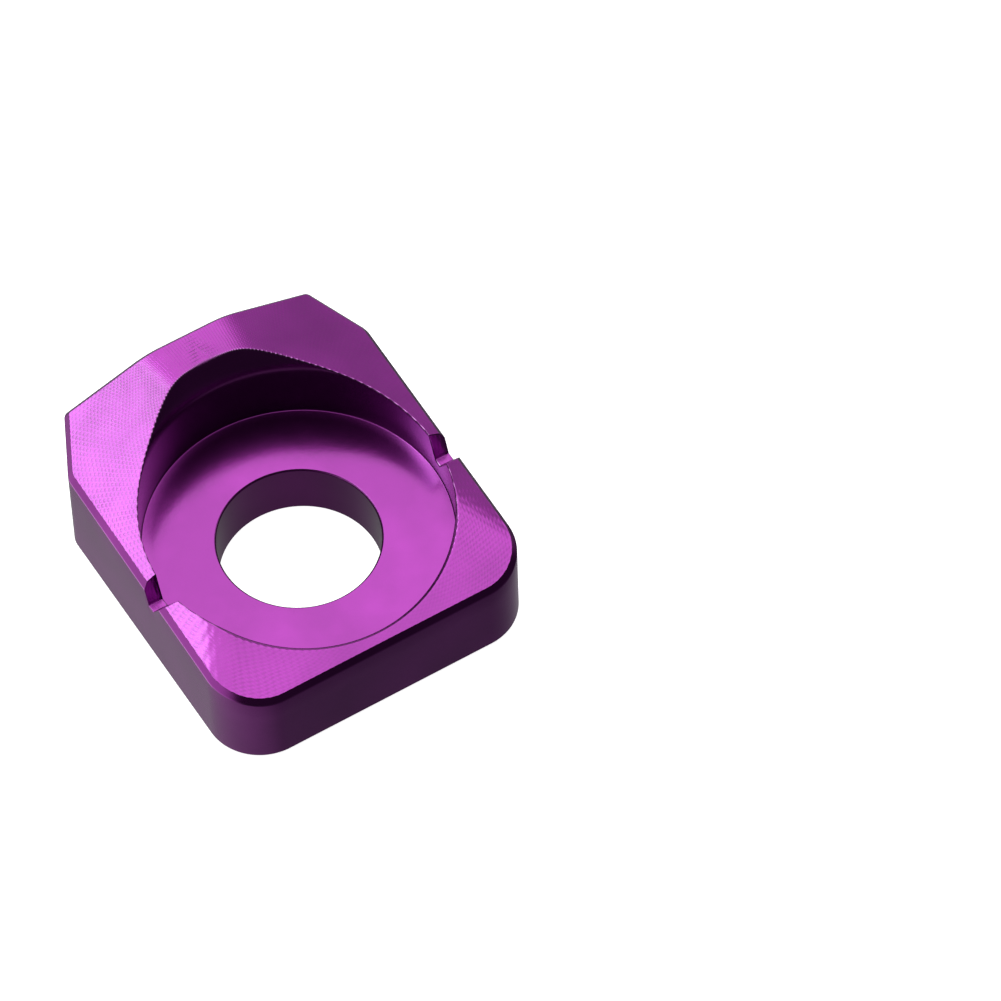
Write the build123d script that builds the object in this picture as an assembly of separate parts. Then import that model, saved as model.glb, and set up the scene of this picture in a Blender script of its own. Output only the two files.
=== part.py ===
from build123d import *
import math
import os

# A rear axle block, milled from one billet. Millimetres.
# Origin: the axle's axis on the flat seat. +Z runs along the axle, away from the seat.
# +Y points to the raised hood at the back, and -Y to the low lip at the front.

# Plan of the block
half_width = 20.95
hood_reach = 26.3
lip_reach = 21.15
hood_chamfer_across = 3.9
hood_chamfer_along = 7.6
hood_corner_radius = 0.8
side_corner_radius = 3.0
lip_corner_radius = 6.9

# Top facets: a level crown, two sides that fall outwards and a lip that falls to the front
crown_height = 19.25
crown_half_width = 5.45
side_fall = 18.3
side_forward_fall = 2.6
lip_drop = 8.0
lip_fall = 12.4
crease_radius = 8.0
top_bevel = 0.65
seat_bevel = 0.3

# Stepped hole: the axle bore and the pocket of the axle nut
bore_radius = 10.0
bore_edge_break = 0.2
floor_thickness = 7.6
pocket_radius = 19.0
pocket_floor_fillet = 0.25

# Cone that opens the pocket's wall under the hood, to clear a socket
cone_depth = 2.6
cone_half_angle = 38.5
cone_blend_radius = 3.0

# Index notches across both sides of the pocket
notch_floor_height = 10.0
notch_floor_width = 1.1
notch_centre_y = -0.95
notch_back_lean = 20.0
notch_front_lean = 33.5

# How far a cutter runs past the faces that it opens
overrun = 1.0


def slope(angle):
    """Rise for each millimetre of run."""
    return math.tan(math.radians(angle))


def plan():
    """Outline from above: long chamfers beside the hood and round corners at the lip."""
    shoulder_y = hood_reach - hood_chamfer_along
    hood_half_width = half_width - hood_chamfer_across
    outline = Polygon(
        (-half_width, -lip_reach),
        (half_width, -lip_reach),
        (half_width, shoulder_y),
        (hood_half_width, hood_reach),
        (-hood_half_width, hood_reach),
        (-half_width, shoulder_y),
        align=None,
    )
    outline = fillet(outline.vertices().group_by(Axis.Y)[0], lip_corner_radius)
    outline = fillet(outline.vertices().group_by(Axis.Y)[-1], hood_corner_radius)
    shoulders = outline.vertices().filter_by(lambda corner: abs(corner.Y - shoulder_y) < 0.001)
    return fillet(shoulders, side_corner_radius)


def faceted_blank():
    """The billet under its sloping facets."""
    blank = extrude(plan(), crown_height)
    for side in (-1, 1):
        facet = Plane(
            origin=(side * crown_half_width, hood_reach, crown_height),
            z_dir=(side * slope(side_fall), -slope(side_forward_fall), 1),
        )
        blank = split(blank, bisect_by=facet, keep=Keep.BOTTOM)
    lip_facet = Plane(origin=(0, -lip_reach, crown_height - lip_drop), z_dir=(0, -slope(lip_fall), 1))
    return split(blank, bisect_by=lip_facet, keep=Keep.BOTTOM)


def stepped_hole():
    """Solid of revolution that the bore, the nut pocket and the cone above it take away."""
    top = crown_height + overrun
    cone_radius = pocket_radius + (cone_depth + overrun) * slope(cone_half_angle)
    profile = Polyline(
        (pocket_radius, 0, floor_thickness),
        (bore_radius + bore_edge_break, 0, floor_thickness),
        (bore_radius, 0, floor_thickness - bore_edge_break),
        (bore_radius, 0, -overrun),
        (0, 0, -overrun),
        (0, 0, top),
        (cone_radius, 0, top),
        (pocket_radius, 0, crown_height - cone_depth),
        close=True,
    )
    section = make_face(profile)
    wall_ends = section.vertices().filter_by(lambda point: abs(point.X - pocket_radius) < 0.001)
    section = fillet(wall_ends.sort_by(Axis.Z)[-1], cone_blend_radius)
    floor_corner = section.vertices().filter_by(
        lambda point: abs(point.X - pocket_radius) < 0.001 and abs(point.Z - floor_thickness) < 0.001
    )
    return revolve(fillet(floor_corner, pocket_floor_fillet), Axis.Z)


def index_notches():
    """One prism that crosses the block and cuts a notch with leaning walls in each side."""
    rise = crown_height - notch_floor_height
    back_foot = notch_centre_y + notch_floor_width / 2
    front_foot = notch_centre_y - notch_floor_width / 2
    section = Plane.YZ * Polygon(
        (front_foot, notch_floor_height),
        (back_foot, notch_floor_height),
        (back_foot + rise * slope(notch_back_lean), crown_height),
        (front_foot - rise * slope(notch_front_lean), crown_height),
        align=None,
    )
    return extrude(section, half_width + overrun, both=True)


def wall_top_edges(body):
    """Edges where the upright outer walls meet the facets."""
    walls = body.faces().filter_by(lambda face: abs(face.normal_at().Z) < 0.001)
    outer_walls = walls.filter_by(lambda face: face.bounding_box().min.Z < 0.001)
    edges = ShapeList(edge for wall in outer_walls for edge in wall.edges())
    return edges.filter_by(lambda edge: edge.bounding_box().min.Z > floor_thickness)


def creases(body):
    """Straight edges between two facets."""
    wall_tops = wall_top_edges(body)
    lines = body.edges().filter_by(GeomType.LINE)
    lines = lines.filter_by(lambda edge: edge.bounding_box().min.Z > floor_thickness)
    return ShapeList(line for line in lines if not any(line.is_same(edge) for edge in wall_tops))


def axle_block():
    """The finished block."""
    body = faceted_blank()
    body = fillet(creases(body), crease_radius)
    body = chamfer(wall_top_edges(body), top_bevel)
    seat = body.faces().sort_by(Axis.Z)[0]
    body = chamfer(seat.edges(), seat_bevel)
    return body - stepped_hole() - index_notches()


os.makedirs("parts", exist_ok=True)
export_step(axle_block(), "parts/axle_block.step")
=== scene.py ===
import math

import bpy
import numpy as np
from mathutils import Matrix, Vector


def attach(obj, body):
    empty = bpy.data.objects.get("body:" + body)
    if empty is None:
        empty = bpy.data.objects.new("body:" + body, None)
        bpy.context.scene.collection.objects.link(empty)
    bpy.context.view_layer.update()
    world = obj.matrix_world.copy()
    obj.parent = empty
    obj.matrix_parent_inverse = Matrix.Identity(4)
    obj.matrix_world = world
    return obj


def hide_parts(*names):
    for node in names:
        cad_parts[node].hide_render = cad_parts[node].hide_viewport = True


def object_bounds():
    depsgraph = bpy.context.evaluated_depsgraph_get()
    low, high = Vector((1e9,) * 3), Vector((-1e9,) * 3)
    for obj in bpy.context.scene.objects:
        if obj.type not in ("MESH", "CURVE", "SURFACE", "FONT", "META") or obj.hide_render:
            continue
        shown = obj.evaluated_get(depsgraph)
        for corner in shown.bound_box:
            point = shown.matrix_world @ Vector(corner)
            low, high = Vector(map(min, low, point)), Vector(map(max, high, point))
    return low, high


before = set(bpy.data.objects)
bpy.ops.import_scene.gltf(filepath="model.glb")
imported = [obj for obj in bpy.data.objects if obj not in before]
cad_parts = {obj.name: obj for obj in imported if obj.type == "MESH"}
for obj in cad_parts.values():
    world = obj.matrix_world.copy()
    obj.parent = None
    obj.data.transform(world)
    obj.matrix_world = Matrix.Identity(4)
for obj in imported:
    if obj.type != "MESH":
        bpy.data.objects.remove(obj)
cad_low, cad_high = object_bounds()

# The camera, in metres and degrees: it stands to the left of the lip and looks down into the pocket
CAMERA_PLACE = Vector((-0.25255, -0.48813, 0.79689))
CAMERA_TARGET = Vector((0.02604, -0.00363, 0.0))
CAMERA_ROLL = -1.928
CLIP_START = 0.05
CLIP_END = 20.0
LENS_MM = 287.4
SENSOR_MM = 36.0

# Millimetres in a metre: the block is laid out in the first and built in the second
MM = 1000

# Plan of the block in millimetres. Its reach to each side comes from the frame.
HALF_WIDTH = cad_high.x * MM
HOOD_REACH = cad_high.y * MM
LIP_REACH = -cad_low.y * MM
CHAMFER_ACROSS = 3.9
CHAMFER_ALONG = 7.6
HOOD_CORNER = 0.8
SHOULDER_CORNER = 3.0
LIP_CORNER = 6.9

# Top facets, in millimetres and degrees. A crease's depth is what its rounding takes off the ridge,
# and the rounding starts where the facets' heights are CREASE_REACH of its depths apart.
CROWN_HEIGHT = cad_high.z * MM
CROWN_HALF_WIDTH = 5.45
SIDE_FALL = 18.3
SIDE_FORWARD_FALL = 2.6
LIP_HEIGHT = 11.25
LIP_FALL = 12.4
HOOD_CREASE_DEPTH = 0.15
LIP_CREASE_DEPTH = 0.21
CREASE_REACH = 4
TOP_BEVEL = 0.65
SEAT_BEVEL = 0.3

# Bore, pocket and the cone above it
BORE_RADIUS = 10.0
BORE_EDGE_BREAK = 0.2
FLOOR_HEIGHT = 7.6
POCKET_RADIUS = 19.0
POCKET_FILLET = 0.12
CONE_START = 16.65
CONE_HALF_ANGLE = 38.5
CONE_BLEND = 3.0

# Index notches
NOTCH_FLOOR = 10.0
NOTCH_FRONT_FOOT = -1.5
NOTCH_BACK_FOOT = -0.4
NOTCH_FRONT_LEAN = 33.5
NOTCH_BACK_LEAN = 20.0

# Fine edges: the rounding of the rim, its broken edge at the lip, the rounding of the bevel and the
# distance of the loops that hold the other edges crisp
RIM_ROUND = 0.18
LIP_RIM_ACROSS = 0.4
LIP_RIM_DOWN = 0.23
BEVEL_ROUND = 0.14
EDGE_HOLD = 0.05

# Milling marks on the facets. The cutter's passes fan out from a point on the middle line, one for
# each facet, and the feed leaves dots along them. Degrees for passes, else millimetres. On the sides
# a pass takes a share of its own angle from the middle line, counted from SIDE_START behind it.
SIDE_PASS_SHARE = 0.028
SIDE_START = 5.0
LIP_PASS = 1.15
LIP_FAN_Y = 24.0
CROWN_PASS = 0.47
CROWN_FAN_Y = -20.0
FEED_PITCH = 0.48
PASS_DEPTH = 0.012

# Angles from the middle line between which the relief of the side passes fades in, as they get wider
RELIEF_FROM = 30.0
RELIEF_FULL = 90.0

# How finely the mesh is laid out: columns round the plan, and rows from the bore out to the seat
COLUMN_PITCH = 0.172
CORNER_COLUMNS_LEAST = 8
BORE_ROW_HEIGHTS = (2.0, 4.0, 6.0)
FLOOR_ROWS = 8
FILLET_ANGLES = (22.5, 45, 67.5)
WALL_ROWS = 20
FACET_ROWS = 29
ROUNDING_STEPS = 4
OUTER_WALL_SHARES = (0, 0.25, 0.5, 0.75, 0.99, 1)
SEAT_SHARES = (0.02, 0.35, 0.7, 0.98)

# Where a side column's inner end turns from square across the block to radial, in distance from Y = 0
SQUARE_UNTIL = 5.0
RADIAL_FROM = 12.0

# Steps in which the rim's points and a facet's points settle on their height
RIM_STEPS = 30
FACET_STEPS = 4

# Finish of a row: how much of it is milled facet, turned floor and edge, which is worn and lightened
# with painted highlight
PLAIN = (0, 0, 0)
MILLED = (1, 0, 0)
TURNED = (0, 1, 0)
WORN_AND_HIGHLIT = (0, 0, 1)
MILLED_RIM = (1, 0, 1)

# The dye: where it is deep and where it is bright; painted shade in the gaps along the rim; and paler at
# edges, partly worn thin and partly painted highlight
DYE_DEEP = (0.215, 0.02, 0.222, 1)
DYE_BRIGHT = (0.292, 0.03, 0.3, 1)
PAINTED_GAP_SHADE = (0.05, 0.003, 0.054, 1)
PALE_WEAR_AND_HIGHLIGHT = (0.5, 0.2, 0.52, 1)
DEEP_UNTIL = 0.3
BRIGHT_FROM = 0.7
TURNED_DARKER = 0.15
EDGE_WEAR_AND_HIGHLIGHT = 0.08

# Dashes of painted highlight along the rim, one for every second pass, with painted shade in the gaps:
# where on its wave a dash starts, and its strength
DASH_RATE = 0.5
DASH_START = -0.3
DASH_STRENGTH = 0.8

# Noise of the finish, as its features for each metre and its detail
DYE_DRIFT = (90.0, 3.0)
MARK_SWAY = (260.0, 1.0)
GRAIN = (1500.0, 4.0)
HAZE = (400.0, 5.0)

# Fine milling marks, in shares of MARK_HEIGHT, which is in metres. Lines run along the passes, with
# waves of dots beside them, so many for each pass. The lip's marks get deeper away from its middle
# line, between two phases of its passes.
MARK_HEIGHT = 0.000008
MARK_WARP = 6.0
SIDE_LINES = 0.7
SIDE_DOT_RATE = 0.5
SIDE_MARKS = 0.75
LIP_LINES = 0.4
LIP_DOT_RATE = 1.0
LIP_MIDDLE_PHASE = 30.0
LIP_ASIDE_PHASE = 120.0
LIP_MIDDLE_MARKS = 0.2
LIP_ASIDE_MARKS = 0.8
CROWN_MARKS = 0.8
GRAIN_MARKS = 0.8

# How the marks come and go: the sway's lower and upper value, and the strength of the marks at each
SWAY_LOW = 0.3
SWAY_HIGH = 0.7
FAINT_MARKS = 0.6
STRONG_MARKS = 1.3

# Gloss of the anodising
ROUGHNESS_LOW = 0.22
ROUGHNESS_HIGH = 0.28
FLOOR_SMOOTHER = 0.03
COAT_WEIGHT = 0.45
COAT_ROUGHNESS = 0.15

# The white floor: its reach and the gap between it and the seat in metres. In millimetres it reaches a
# little under the edges of the seat, and it is open further in.
FLOOR_REACH = 3.0
FLOOR_GAP = 0.00005
FLOOR_UNDER_SEAT = 0.6
FLOOR_COLOUR = (0.9, 0.9, 0.9, 1)
FLOOR_ROUGHNESS = 0.9
FLOOR_LIGHT = 0.95

# Painted shade under the bore: a black disc that glows dimly, a stand-in for the shaded floor there
SHADE_COLOUR = (0, 0, 0, 1)
SHADE_ROUGHNESS = 0.5
SHADE_LIGHT = 0.14
DISC_SIDES = 96
WHITE = (1, 1, 1, 1)

# Soft glows of the studio: direction, angle of the full glow, angle where it ends, strength and tint
GLOWS = [
    ((0.05, 0.30, 0.95), 12, 40, 1.9, (1, 1, 1)),
    ((-0.29, 0.43, 0.85), 3, 14, 3.4, (1.0, 1.75, 1.12)),
    ((0.75, 0.45, 0.48), 25, 52, 0.68, (1, 0.85, 1)),
    ((-0.95, 0.30, 0.0), 10, 60, 0.95, (1, 1, 1)),
    ((-0.65, 0.50, -0.57), 4, 16, 1.2, (1, 1, 1)),
    ((-0.29, 0.50, -0.82), 10, 80, 0.31, (1, 1, 1)),
    ((0.29, -0.50, -0.82), 10, 70, 0.05, (1, 0.8, 1.1)),
    ((-0.45, -0.40, -0.80), 8, 35, 0.07, (1, 1, 1)),
]
STUDIO_BASE = (0.035, 0.035, 0.038)


def slope(angle):
    """Rise for each millimetre of run."""
    return math.tan(math.radians(angle))


def soft_min(first, second, depth):
    """The lower of two heights, with the ridge between them rounded off by depth."""
    width = CREASE_REACH * depth
    near = np.maximum(width - np.abs(first - second), 0) / width
    return np.minimum(first, second) - near * near * depth


def facet_planes(x, y):
    """Heights of the side facet's plane and of the lip facet's over a point of the plan."""
    drop_across = slope(SIDE_FALL) * (np.abs(x) - CROWN_HALF_WIDTH)
    drop_forward = slope(SIDE_FORWARD_FALL) * (HOOD_REACH - y)
    return CROWN_HEIGHT - drop_across - drop_forward, LIP_HEIGHT + slope(LIP_FALL) * (y + LIP_REACH)


def top_height(x, y):
    """Height of the facets over a point of the plan."""
    side, lip = facet_planes(x, y)
    hood = soft_min(CROWN_HEIGHT, side, HOOD_CREASE_DEPTH)
    return soft_min(hood, lip, LIP_CREASE_DEPTH)


def facet_shares(x, y):
    """How much of the facet over a point is side, lip and crown."""
    side, lip = facet_planes(x, y)
    lip_share = np.clip(0.5 + (side - lip) / (2 * CREASE_REACH * LIP_CREASE_DEPTH), 0, 1)
    level = np.clip(0.5 + (side - CROWN_HEIGHT) / (2 * CREASE_REACH * HOOD_CREASE_DEPTH), 0, 1)
    return (1 - lip_share) * (1 - level), lip_share, (1 - lip_share) * level


def middle_angle(x, y):
    """Degrees round the bore's axis from the middle line at the hood."""
    return np.degrees(np.arctan2(np.abs(x), y))


def fan_phase(across, along, pass_width):
    """Phase in radians over a fan of passes that are each so many degrees wide."""
    return np.arctan2(across, along) * 360 / pass_width


def pass_phases(x, y):
    """Phase of the cutter's passes over a point, in the fans of the side, the lip and the crown."""
    side = np.log(middle_angle(x, y) + SIDE_START) * 2 * math.pi / SIDE_PASS_SHARE
    lip = fan_phase(x, LIP_FAN_Y - y, LIP_PASS)
    crown = fan_phase(x, y - CROWN_FAN_Y, CROWN_PASS)
    return side, lip, crown


def groove_depth(x, y):
    """Depth that the cutter's passes take off the side and lip facets."""
    side, lip, _ = pass_phases(x, y)
    side_share, lip_share, _ = facet_shares(x, y)
    fade = np.clip((middle_angle(x, y) - RELIEF_FROM) / (RELIEF_FULL - RELIEF_FROM), 0, 1)
    side_share = side_share * fade
    return PASS_DEPTH * (0.5 * side_share * (1 + np.cos(side)) + 0.5 * lip_share * (1 + np.cos(lip)))


def notch_height(y):
    """Height of the index notch's floor and leaning walls."""
    back = (y - NOTCH_BACK_FOOT) / slope(NOTCH_BACK_LEAN)
    front = (NOTCH_FRONT_FOOT - y) / slope(NOTCH_FRONT_LEAN)
    return NOTCH_FLOOR + np.maximum(0, np.maximum(back, front))


def notch_front_edge(height):
    """Y of the notch's front wall at a height."""
    return NOTCH_FRONT_FOOT - (height - NOTCH_FLOOR) * slope(NOTCH_FRONT_LEAN)


def notch_back_edge(height):
    """Y of the notch's back wall at a height."""
    return NOTCH_BACK_FOOT + (height - NOTCH_FLOOR) * slope(NOTCH_BACK_LEAN)


def notch_edges():
    """Y of the notch's front and back edge at the top of the outer walls."""
    wall_top = top_height(HALF_WIDTH, 0) - TOP_BEVEL
    return notch_front_edge(wall_top), notch_back_edge(wall_top)


def milled_height(height, x, y):
    """Facet height with the cutter's passes, cut down to the notch."""
    return np.minimum(height - groove_depth(x, y), notch_height(y))


def pocket_radius(height):
    """Radius of the pocket's wall, of the cone above it and of the blend between them."""
    start = CONE_START - CONE_BLEND * slope(CONE_HALF_ANGLE / 2)
    rise = CONE_BLEND * math.sin(math.radians(CONE_HALF_ANGLE))
    lift = np.clip(height - start, 0, rise)
    blend = POCKET_RADIUS + CONE_BLEND - np.sqrt(CONE_BLEND ** 2 - lift ** 2)
    cone = POCKET_RADIUS + (height - CONE_START) * slope(CONE_HALF_ANGLE)
    return np.where(height > start + rise, cone, blend)


def straight(start, end, shares=None):
    """Points and outward normals along a straight side of the plan, without its end."""
    start, end = np.array(start, float), np.array(end, float)
    length = np.linalg.norm(end - start)
    if shares is None:
        count = round(length / COLUMN_PITCH)
        shares = np.arange(count) / count
    along = (end - start) / length
    points = start + shares[:, None] * (end - start)
    return points, np.tile((along[1], -along[0]), (len(shares), 1))


def corner(centre, radius, first, last):
    """Points and outward normals round a corner of the plan, without its end."""
    turn = math.radians(last - first)
    count = max(round(radius * turn / COLUMN_PITCH), CORNER_COLUMNS_LEAST)
    angle = math.radians(first) + turn * np.arange(count) / count
    normals = np.stack((np.cos(angle), np.sin(angle)), axis=1)
    return np.array(centre) + radius * normals, normals


def side_stations(low, high, front_edge, back_edge):
    """Y of the columns along a side, with loops at the notch's four edges."""
    stops = [low]
    for edge in (front_edge, NOTCH_FRONT_FOOT, NOTCH_BACK_FOOT, back_edge):
        stops += [edge - EDGE_HOLD, edge, edge + EDGE_HOLD]
    stops.append(high)
    parts = []
    for start, end in zip(stops, stops[1:]):
        count = max(round((end - start) / COLUMN_PITCH), 1)
        parts.append(start + (end - start) * np.arange(count) / count)
    return np.concatenate(parts)


def right_half(front_edge, back_edge):
    """Outline of the right half, from the middle of the lip to the middle of the hood."""
    chamfer_angle = math.degrees(math.atan2(CHAMFER_ACROSS, CHAMFER_ALONG))
    shoulder_cut = SHOULDER_CORNER * slope(chamfer_angle / 2)
    hood_cut = HOOD_CORNER * slope((90 - chamfer_angle) / 2)
    along = np.array((-math.sin(math.radians(chamfer_angle)), math.cos(math.radians(chamfer_angle))))
    shoulder = np.array((HALF_WIDTH, HOOD_REACH - CHAMFER_ALONG))
    hood = np.array((HALF_WIDTH - CHAMFER_ACROSS, HOOD_REACH))
    lip_centre = (HALF_WIDTH - LIP_CORNER, LIP_CORNER - LIP_REACH)
    side_low, side_high = lip_centre[1], shoulder[1] - shoulder_cut
    stations = side_stations(side_low, side_high, front_edge, back_edge)
    shares = (stations - side_low) / (side_high - side_low)
    pieces = [
        straight((0, -LIP_REACH), (lip_centre[0], -LIP_REACH)),
        corner(lip_centre, LIP_CORNER, -90, 0),
        straight((HALF_WIDTH, side_low), (HALF_WIDTH, side_high), shares),
        corner((HALF_WIDTH - SHOULDER_CORNER, side_high), SHOULDER_CORNER, 0, chamfer_angle),
        straight(shoulder + along * shoulder_cut, hood - along * hood_cut),
        corner((hood[0] - hood_cut, HOOD_REACH - HOOD_CORNER), HOOD_CORNER, chamfer_angle, 90),
        straight((hood[0] - hood_cut, HOOD_REACH), (0, HOOD_REACH)),
        (np.array([(0, HOOD_REACH)]), np.array([(0.0, 1.0)])),
    ]
    points = np.concatenate([piece[0] for piece in pieces])
    normals = np.concatenate([piece[1] for piece in pieces])
    return points, normals


class Columns:
    """The mesh's columns over the right half, which run from the bore over the facets to the seat."""

    def __init__(self):
        self.front_edge, self.back_edge = notch_edges()
        outline, self.normals = right_half(self.front_edge, self.back_edge)
        self.out_x, self.out_y = outline.T
        self.front_pull, self.back_pull = self.pulls()
        self.rim_x, self.rim_y, self.rim_base, self.rim_height = self.rim()
        self.angle = np.arctan2(self.rim_y, self.rim_x)
        self.rim_top = milled_height(self.rim_height, self.rim_x, self.rim_y)
        self.at_lip = facet_shares(self.rim_x, self.rim_y)[1]
        inset = TOP_BEVEL * math.cos(math.radians(SIDE_FALL)) * self.normals
        self.edge_x, self.edge_y = (outline - inset).T
        self.run = np.hypot(self.edge_x - self.rim_x, self.edge_y - self.rim_base)

    def pulls(self):
        """How much each column follows the notch's front edge and its back edge, from 0 to 1."""
        front, back = self.front_edge, self.back_edge
        side_low, side_high = LIP_CORNER - LIP_REACH, HOOD_REACH - CHAMFER_ALONG
        front_stops = [side_low, front - EDGE_HOLD, front + EDGE_HOLD, NOTCH_FRONT_FOOT - EDGE_HOLD]
        back_stops = [NOTCH_BACK_FOOT + EDGE_HOLD, back - EDGE_HOLD, back + EDGE_HOLD, side_high]
        return [np.interp(self.out_y, stops, [0, 1, 1, 0]) for stops in (front_stops, back_stops)]

    def shift(self, height):
        """How far a column moves along Y so that it follows the notch's leaning edges."""
        forward = notch_front_edge(height) - self.front_edge
        backward = notch_back_edge(height) - self.back_edge
        return self.front_pull * forward + self.back_pull * backward

    def rim(self):
        """Where the pocket's wall meets the facets: X, Y, Y before its shift, and height."""
        polar = np.arctan2(self.out_y, self.out_x)
        turn = np.clip((np.abs(self.out_y) - SQUARE_UNTIL) / (RADIAL_FROM - SQUARE_UNTIL), 0, 1)
        radial = turn * turn * (3 - 2 * turn)
        radius = np.full(len(self.out_x), POCKET_RADIUS)
        height = np.full(len(self.out_x), CROWN_HEIGHT)
        for _ in range(RIM_STEPS):
            base = (1 - radial) * self.out_y + radial * radius * np.sin(polar)
            y = base + self.shift(height)
            x = np.sqrt(np.maximum(radius ** 2 - y ** 2, 0))
            height = top_height(x, y)
            radius = pocket_radius(height)
        return x, y, base, height

    def ring(self, radius, height):
        """A row on the bore, the floor or the pocket's wall."""
        x, y = radius * np.cos(self.angle), radius * np.sin(self.angle)
        return np.stack((x, y, height + 0 * self.angle), axis=1)

    def facet(self, share):
        """A row on the facets, a share of the way from the rim to the bevel."""
        x = self.rim_x + share * (self.edge_x - self.rim_x)
        base = self.rim_base + share * (self.edge_y - self.rim_base)
        y = base + self.shift(self.rim_height)
        for _ in range(FACET_STEPS):
            height = top_height(x, y)
            y = base + self.shift(height)
        return np.stack((x, y, milled_height(height, x, y)), axis=1)

    def bevel(self, share):
        """A row on the bevel, a share of the way down it."""
        x = self.edge_x + share * (self.out_x - self.edge_x)
        base = self.edge_y + share * (self.out_y - self.edge_y)
        high = top_height(self.edge_x, self.edge_y + self.shift(top_height(self.edge_x, self.edge_y)))
        low = top_height(self.out_x, self.out_y) - TOP_BEVEL
        height = high + share * (low - high)
        y = base + self.shift(height)
        return np.stack((x, y, np.minimum(height, notch_height(y))), axis=1)


def rounded(before, tip, after):
    """Rows of a small rounding that replaces a sharp edge."""
    shares = np.arange(1, ROUNDING_STEPS) / ROUNDING_STEPS
    return [(1 - s) ** 2 * before + 2 * s * (1 - s) * tip + s * s * after for s in shares]


def finished(rows, finish):
    """Rows that are each kept with their finish."""
    return [(row, finish) for row in rows]


def bore_rows(columns):
    """Up the bore and over its broken edge."""
    top = FLOOR_HEIGHT - BORE_EDGE_BREAK
    heights = (EDGE_HOLD, *BORE_ROW_HEIGHTS, top - EDGE_HOLD)
    foot = columns.ring(BORE_RADIUS, 0)
    wall = [columns.ring(BORE_RADIUS, height) for height in heights]
    edge = [columns.ring(BORE_RADIUS, top), columns.ring(BORE_RADIUS + BORE_EDGE_BREAK, FLOOR_HEIGHT)]
    return finished([foot], WORN_AND_HIGHLIT) + finished(wall, PLAIN) + finished(edge, WORN_AND_HIGHLIT)


def floor_rows(columns):
    """Out over the floor and round its fillet."""
    fillet_start = POCKET_RADIUS - POCKET_FILLET
    radii = np.linspace(BORE_RADIUS + BORE_EDGE_BREAK + EDGE_HOLD, fillet_start, FLOOR_ROWS)
    floor = [columns.ring(radius, FLOOR_HEIGHT) for radius in radii]
    fillet = []
    for angle in np.radians(FILLET_ANGLES):
        radius = fillet_start + POCKET_FILLET * math.sin(angle)
        fillet.append(columns.ring(radius, FLOOR_HEIGHT + POCKET_FILLET * (1 - math.cos(angle))))
    return finished(floor, TURNED) + finished(fillet, PLAIN)


def wall_rows(columns):
    """Up the pocket's wall."""
    start = FLOOR_HEIGHT + POCKET_FILLET
    stop = columns.rim_top - RIM_ROUND - columns.at_lip * (LIP_RIM_DOWN - RIM_ROUND)
    heights = [start + share * (stop - start) for share in np.linspace(0, 1, WALL_ROWS)]
    return finished([columns.ring(pocket_radius(height), height) for height in heights], PLAIN)


def facet_rows(columns, wall_end):
    """Round the pocket's rim, from the last row of its wall, and out over the facets."""
    first = (RIM_ROUND + columns.at_lip * (LIP_RIM_ACROSS - RIM_ROUND)) / columns.run
    last = 1 - EDGE_HOLD / columns.run
    start = columns.facet(first)
    sharp = np.stack((columns.rim_x, columns.rim_y, columns.rim_top), axis=1)
    tip = sharp + columns.at_lip[:, None] * ((wall_end + start) / 2 - sharp)
    facets = [columns.facet(first + share * (last - first)) for share in np.linspace(0, 1, FACET_ROWS)]
    return finished(rounded(wall_end, tip, start), MILLED_RIM) + finished(facets, MILLED)


def outer_rows(columns):
    """Down the bevel, round its lower edge and down the outer wall."""
    drop = TOP_BEVEL * math.sqrt(2)
    bevel = [columns.bevel(EDGE_HOLD / drop), columns.bevel(1 - BEVEL_ROUND / drop)]
    foot = columns.bevel(1)
    below = foot - np.array((0, 0, BEVEL_ROUND))
    edge = rounded(bevel[-1], foot, below)
    wall = []
    for share in OUTER_WALL_SHARES:
        height = below[:, 2] + share * (SEAT_BEVEL - below[:, 2])
        wall.append(np.stack((foot[:, 0], foot[:, 1], height), axis=1))
    top = finished([columns.bevel(0)], WORN_AND_HIGHLIT) + finished(bevel, PLAIN)
    return top + finished(edge, WORN_AND_HIGHLIT) + finished(wall, PLAIN)


def seat_rows(columns):
    """Round the seat's bevel and in over the seat to the bore."""
    level = np.zeros(len(columns.angle))
    inner = columns.bevel(1)[:, :2] - SEAT_BEVEL * columns.normals
    seat = []
    for share in SEAT_SHARES:
        flat = (1 - share) * inner + share * columns.ring(BORE_RADIUS, 0)[:, :2]
        seat.append(np.column_stack((flat, level)))
    return finished([np.column_stack((inner, level))], WORN_AND_HIGHLIT) + finished(seat, PLAIN)


def block_rows():
    """Rows of points for the right half, from the bore out to the seat, and their finishes."""
    columns = Columns()
    rows = bore_rows(columns) + floor_rows(columns) + wall_rows(columns)
    rows += facet_rows(columns, rows[-1][0])
    rows += outer_rows(columns) + seat_rows(columns)
    points, finishes = zip(*rows)
    return np.array(points), np.array(finishes)


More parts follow.
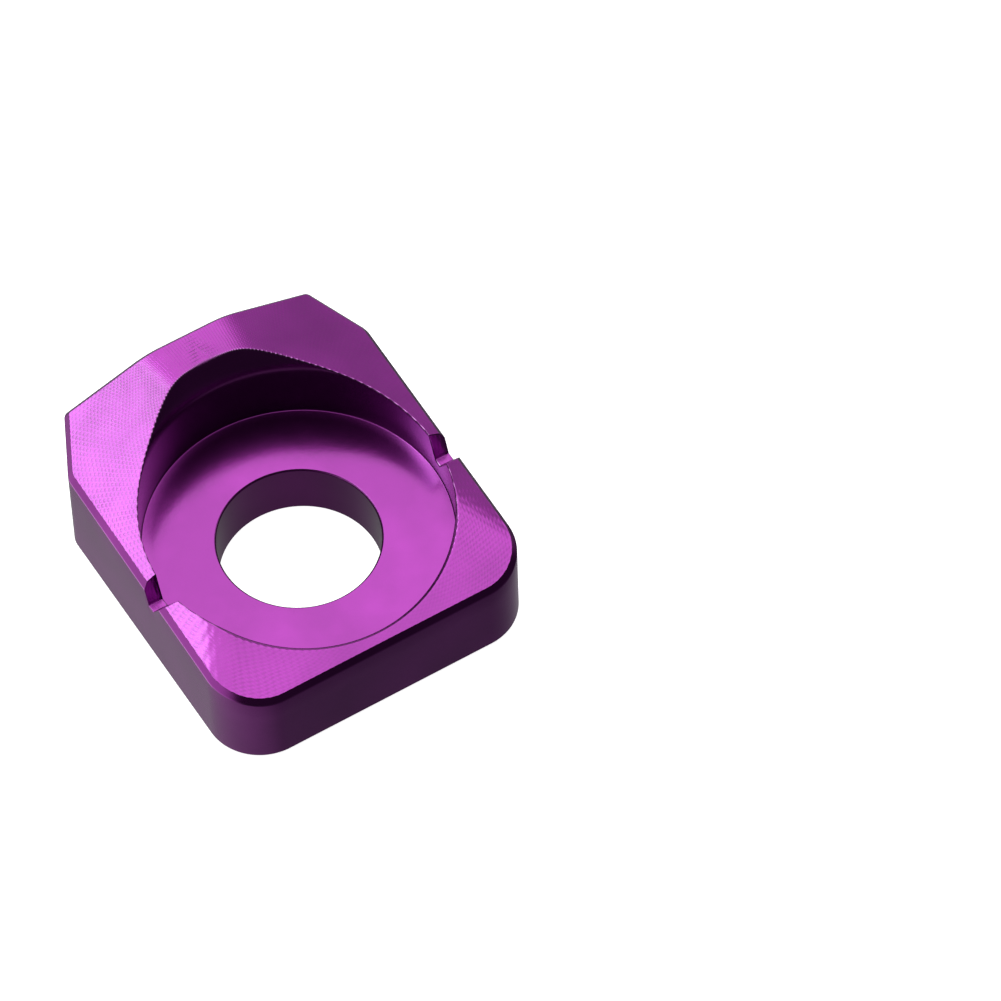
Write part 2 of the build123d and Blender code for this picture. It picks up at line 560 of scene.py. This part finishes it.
def block_mesh():
    """The whole block as one closed grid of quads, with its finish kept at each point."""
    right, finishes = block_rows()
    left = right[:, -2:0:-1] * np.array((-1, 1, 1))
    grid = np.concatenate((right, left), axis=1)
    row_count, column_count = grid.shape[:2]
    index = np.arange(row_count * column_count).reshape(row_count, column_count)
    outward = np.roll(index, -1, axis=0)
    quads = np.stack((index, outward, np.roll(outward, -1, axis=1), np.roll(index, -1, axis=1)), axis=2)
    mesh = bpy.data.meshes.new("axle_block_milled")
    mesh.from_pydata((grid.reshape(-1, 3) / MM).tolist(), [], quads.reshape(-1, 4).tolist())
    mesh.shade_smooth()
    x, y = grid[:, :, 0], grid[:, :, 1]
    feed_phase = np.hypot(x, y) * 2 * math.pi / FEED_PITCH
    milled, turned, worn_and_highlit = np.repeat(finishes[:, None, :], column_count, axis=1).transpose(2, 0, 1)
    layers = {
        "passes": pass_phases(x, y),
        "facets": [milled * share for share in facet_shares(x, y)],
        "finish": (feed_phase, turned, worn_and_highlit),
    }
    for name, parts in layers.items():
        layer = mesh.attributes.new(name, "FLOAT_VECTOR", "POINT")
        layer.data.foreach_set("vector", np.stack(parts, axis=2).reshape(-1).astype(np.float32))
    return mesh


class Nodes:
    """Short calls for building a node tree."""

    def __init__(self, tree):
        self.tree = tree

    def add(self, kind, settings=None, inputs=None):
        """A node with its settings, and its inputs as values or links."""
        node = self.tree.nodes.new(kind)
        for name, value in (settings or {}).items():
            setattr(node, name, value)
        for name, value in (inputs or {}).items():
            self.feed_into(node.inputs[name], value)
        return node

    def feed_into(self, socket, value):
        """Links another node's output to an input, or sets the input's value."""
        if isinstance(value, bpy.types.NodeSocket):
            self.tree.links.new(value, socket)
        else:
            socket.default_value = value

    def math(self, operation, first, second=0.0):
        """Result of a math node."""
        node = self.add("ShaderNodeMath", {"operation": operation}, {0: first, 1: second})
        return node.outputs[0]

    def vector_math(self, operation, inputs):
        """Outputs of a vector math node."""
        return self.add("ShaderNodeVectorMath", {"operation": operation}, inputs).outputs

    def product(self, first, *others):
        """Factors multiplied in turn."""
        for other in others:
            first = self.math("MULTIPLY", first, other)
        return first

    def span(self, value, start, end, low, high, curve="LINEAR"):
        """A value that goes from low to high while another goes from start to end."""
        limits = {0: value, 1: start, 2: end, 3: low, 4: high}
        return self.add("ShaderNodeMapRange", {"interpolation_type": curve}, limits).outputs[0]

    def mix(self, share, first, second):
        """A colour between two others."""
        node = self.add("ShaderNodeMix", {"data_type": "RGBA"}, {"Factor": share})
        self.feed_into(node.inputs["A"], first)
        self.feed_into(node.inputs["B"], second)
        return node.outputs["Result"]


class Surface(Nodes):
    """Nodes of the block's surface, with what the mesh keeps at each point."""

    def __init__(self, tree):
        super().__init__(tree)
        self.place = self.add("ShaderNodeTexCoord").outputs["Object"]
        self.side_phase, self.lip_phase, self.crown_phase = self.kept("passes")
        self.side, self.lip, self.crown = self.kept("facets")
        self.feed_phase, self.turned, self.worn_and_highlit = self.kept("finish")

    def kept(self, name):
        """The three parts of a vector kept at each point."""
        vector = self.add("ShaderNodeAttribute", {"attribute_name": name}).outputs["Vector"]
        return self.add("ShaderNodeSeparateXYZ", inputs={0: vector}).outputs

    def noise(self, scale, detail):
        """Outputs of a noise over the surface."""
        inputs = {"Vector": self.place, "Scale": scale, "Detail": detail}
        return self.add("ShaderNodeTexNoise", inputs=inputs).outputs


def body_dye(surface):
    """The dye's slow drift, darker on the turned floor."""
    drift = surface.noise(*DYE_DRIFT)["Fac"]
    dye = surface.math("SUBTRACT", drift, surface.product(surface.turned, TURNED_DARKER))
    ramp = surface.add("ShaderNodeValToRGB", inputs={0: dye})
    deep, bright = ramp.color_ramp.elements
    deep.position = DEEP_UNTIL
    deep.color = DYE_DEEP
    bright.position = BRIGHT_FROM
    bright.color = DYE_BRIGHT
    return ramp.outputs["Color"]


def dye_colour(surface):
    """The dye, paler at edges from wear and painted highlight, with dashes of painted highlight and gaps
    of painted shade where the passes meet the pocket's rim.
    """
    # Painted highlight in dashes where every second pass meets the rim, and painted shade in the gaps
    # between them
    waves = surface.math("COSINE", surface.product(surface.side_phase, DASH_RATE))
    ends = surface.span(waves, DASH_START, 1.0, 0.0, DASH_STRENGTH)
    rim = surface.product(surface.worn_and_highlit, surface.math("ADD", surface.side, surface.crown))
    highlight_dashes = surface.product(rim, ends)
    gap_shade = surface.math("SUBTRACT", surface.product(rim, DASH_STRENGTH), highlight_dashes)
    # Edges are paler, partly from wear and partly as painted highlight
    wear_and_highlight = surface.math("ADD", highlight_dashes, surface.product(surface.worn_and_highlit, EDGE_WEAR_AND_HIGHLIGHT))
    dye_with_gap_shade = surface.mix(gap_shade, body_dye(surface), PAINTED_GAP_SHADE)
    return surface.mix(wear_and_highlight, dye_with_gap_shade, PALE_WEAR_AND_HIGHLIGHT)


def fan_marks(surface, warp, phase, line_depth, dot_rate):
    """Lines along the passes of a fan, with dots where the feed crosses them."""
    row = surface.math("ADD", phase, warp)
    feed_waves = surface.math("COSINE", surface.math("ADD", surface.feed_phase, warp))
    lines = surface.product(surface.math("COSINE", row), line_depth)
    offset = surface.math("COSINE", surface.product(row, dot_rate))
    return surface.math("ADD", lines, surface.product(offset, feed_waves))


def mark_height(surface):
    """Milling marks, dots on the sides and the lip and lines on the crown, a little uneven."""
    sway = surface.noise(*MARK_SWAY)
    warp = surface.product(sway["Fac"], MARK_WARP)
    crown = surface.math("COSINE", surface.math("ADD", surface.crown_phase, warp))
    crown = surface.product(crown, surface.crown, CROWN_MARKS)
    side = fan_marks(surface, warp, surface.side_phase, SIDE_LINES, SIDE_DOT_RATE)
    side = surface.product(side, surface.side, SIDE_MARKS)
    aside = surface.math("ABSOLUTE", surface.lip_phase)
    lip_depth = surface.span(aside, LIP_MIDDLE_PHASE, LIP_ASIDE_PHASE, LIP_MIDDLE_MARKS, LIP_ASIDE_MARKS)
    lip = fan_marks(surface, warp, surface.lip_phase, LIP_LINES, LIP_DOT_RATE)
    lip = surface.product(lip, surface.lip, lip_depth)
    marks = surface.math("ADD", surface.math("ADD", crown, side), lip)
    fade = surface.span(sway["Color"], SWAY_LOW, SWAY_HIGH, FAINT_MARKS, STRONG_MARKS)
    fade = surface.math("SUBTRACT", fade, surface.product(surface.worn_and_highlit, surface.lip))
    grain = surface.product(surface.noise(*GRAIN)["Fac"], GRAIN_MARKS)
    return surface.math("ADD", surface.product(marks, fade), grain)


def satin_roughness(surface):
    """Satin with a faint haze, a little smoother on the turned floor."""
    rough = surface.span(surface.noise(*HAZE)["Fac"], 0.0, 1.0, ROUGHNESS_LOW, ROUGHNESS_HIGH)
    return surface.math("SUBTRACT", rough, surface.product(surface.turned, FLOOR_SMOOTHER))


def new_material(name):
    """A material with its node tree and its shader."""
    material = bpy.data.materials.new(name)
    material.use_nodes = True
    return material, material.node_tree.nodes["Principled BSDF"]


def anodised_material():
    """Satin purple anodising over milled and turned aluminium."""
    material, shader = new_material("anodised_purple")
    surface = Surface(material.node_tree)
    relief = {"Strength": 1.0, "Distance": MARK_HEIGHT, "Height": mark_height(surface)}
    bump = surface.add("ShaderNodeBump", inputs=relief)
    surface.feed_into(shader.inputs["Base Color"], dye_colour(surface))
    surface.feed_into(shader.inputs["Roughness"], satin_roughness(surface))
    surface.feed_into(shader.inputs["Normal"], bump.outputs["Normal"])
    shader.inputs["Metallic"].default_value = 1.0
    shader.inputs["Coat Weight"].default_value = COAT_WEIGHT
    shader.inputs["Coat Roughness"].default_value = COAT_ROUGHNESS
    return material


def lit_material(name, colour, roughness, light):
    """A plain material that gives off some white light of its own."""
    material, shader = new_material(name)
    shader.inputs["Base Color"].default_value = colour
    shader.inputs["Roughness"].default_value = roughness
    shader.inputs["Emission Color"].default_value = WHITE
    shader.inputs["Emission Strength"].default_value = light
    return material


def add_block():
    """The detailed block in the place of the CAD solid."""
    block = bpy.data.objects.new("axle_block_milled", block_mesh())
    bpy.context.scene.collection.objects.link(block)
    block.data.materials.append(anodised_material())
    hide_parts("axle_block")
    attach(block, "root")


def add_camera():
    """A long lens at the photograph's viewing angle."""
    data = bpy.data.cameras.new("camera")
    data.lens = LENS_MM
    data.sensor_width = SENSOR_MM
    data.clip_start = CLIP_START
    data.clip_end = CLIP_END
    camera = bpy.data.objects.new("camera", data)
    bpy.context.scene.collection.objects.link(camera)
    forward = (CAMERA_TARGET - CAMERA_PLACE).normalized()
    level_right = forward.cross(Vector((0, 0, 1))).normalized()
    level_up = level_right.cross(forward)
    roll = math.radians(CAMERA_ROLL)
    right = level_right * math.cos(roll) + level_up * math.sin(roll)
    up = level_up * math.cos(roll) - level_right * math.sin(roll)
    axes = Matrix((right, up, -forward)).transposed().to_4x4()
    camera.matrix_world = Matrix.Translation(CAMERA_PLACE) @ axes
    bpy.context.scene.camera = camera


def disc(radius):
    """Points round a disc on the bore's axis, in metres."""
    turn = np.linspace(0, 2 * math.pi, DISC_SIDES, endpoint=False)
    return radius / MM * np.stack((np.cos(turn), np.sin(turn)), axis=1)


def flat_object(name, points, faces, height):
    """A level object of the scene, at a height in metres."""
    mesh = bpy.data.meshes.new(name)
    mesh.from_pydata(np.column_stack((points, np.zeros(len(points)))).tolist(), [], faces)
    flat = bpy.data.objects.new(name, mesh)
    flat.location.z = height
    bpy.context.scene.collection.objects.link(flat)
    return flat


def add_floor():
    """A plain white floor that the polished walls don't mirror, open under the seat but not the bore."""
    outline, normals = right_half(*notch_edges())
    right = (outline - FLOOR_UNDER_SEAT * normals) / MM
    inner = np.concatenate((right, right[-2:0:-1] * np.array((-1, 1))))
    outer = FLOOR_REACH * inner / np.linalg.norm(inner, axis=1, keepdims=True)
    points = np.concatenate((inner, outer, disc(BORE_RADIUS + FLOOR_UNDER_SEAT)))
    index = np.arange(len(inner))
    after = np.roll(index, -1)
    faces = np.stack((index, index + len(inner), after + len(inner), after), axis=1).tolist()
    faces.append(list(range(2 * len(inner), len(points))))
    floor = flat_object("floor", points, faces, cad_low.z - FLOOR_GAP)
    floor.visible_glossy = False
    white = lit_material("floor_white", FLOOR_COLOUR, FLOOR_ROUGHNESS, FLOOR_LIGHT)
    floor.data.materials.append(white)


def add_bore_shade():
    """Painted shade under the bore: a dim disc for the shaded floor, which the polished walls mirror and
    the camera doesn't see.
    """
    shade = flat_object("bore_shade", disc(BORE_RADIUS), [list(range(DISC_SIDES))], cad_low.z)
    shade.visible_camera = False
    shade.visible_diffuse = False
    shade.visible_shadow = False
    shaded = lit_material("shaded_floor", SHADE_COLOUR, SHADE_ROUGHNESS, SHADE_LIGHT)
    shade.data.materials.append(shaded)


def add_world():
    """Studio surroundings: soft glows on a dark base."""
    world = bpy.data.worlds.new("studio")
    world.use_nodes = True
    nodes = Nodes(world.node_tree)
    direction = nodes.add("ShaderNodeTexCoord").outputs["Generated"]
    total = STUDIO_BASE
    for place, full, end, strength, tint in GLOWS:
        facing = nodes.vector_math("DOT_PRODUCT", {0: direction, 1: Vector(place).normalized()})["Value"]
        start, stop = math.cos(math.radians(end)), math.cos(math.radians(full))
        glow = nodes.span(facing, start, stop, 0.0, strength, "SMOOTHSTEP")
        tinted = nodes.vector_math("SCALE", {0: tint, "Scale": glow})[0]
        total = nodes.vector_math("ADD", {0: total, 1: tinted})[0]
    background = world.node_tree.nodes["Background"]
    nodes.feed_into(background.inputs["Color"], total)
    bpy.context.scene.world = world


add_camera()
add_floor()
add_bore_shade()
add_world()
add_block()
bpy.context.scene.view_settings.view_transform = "Standard"
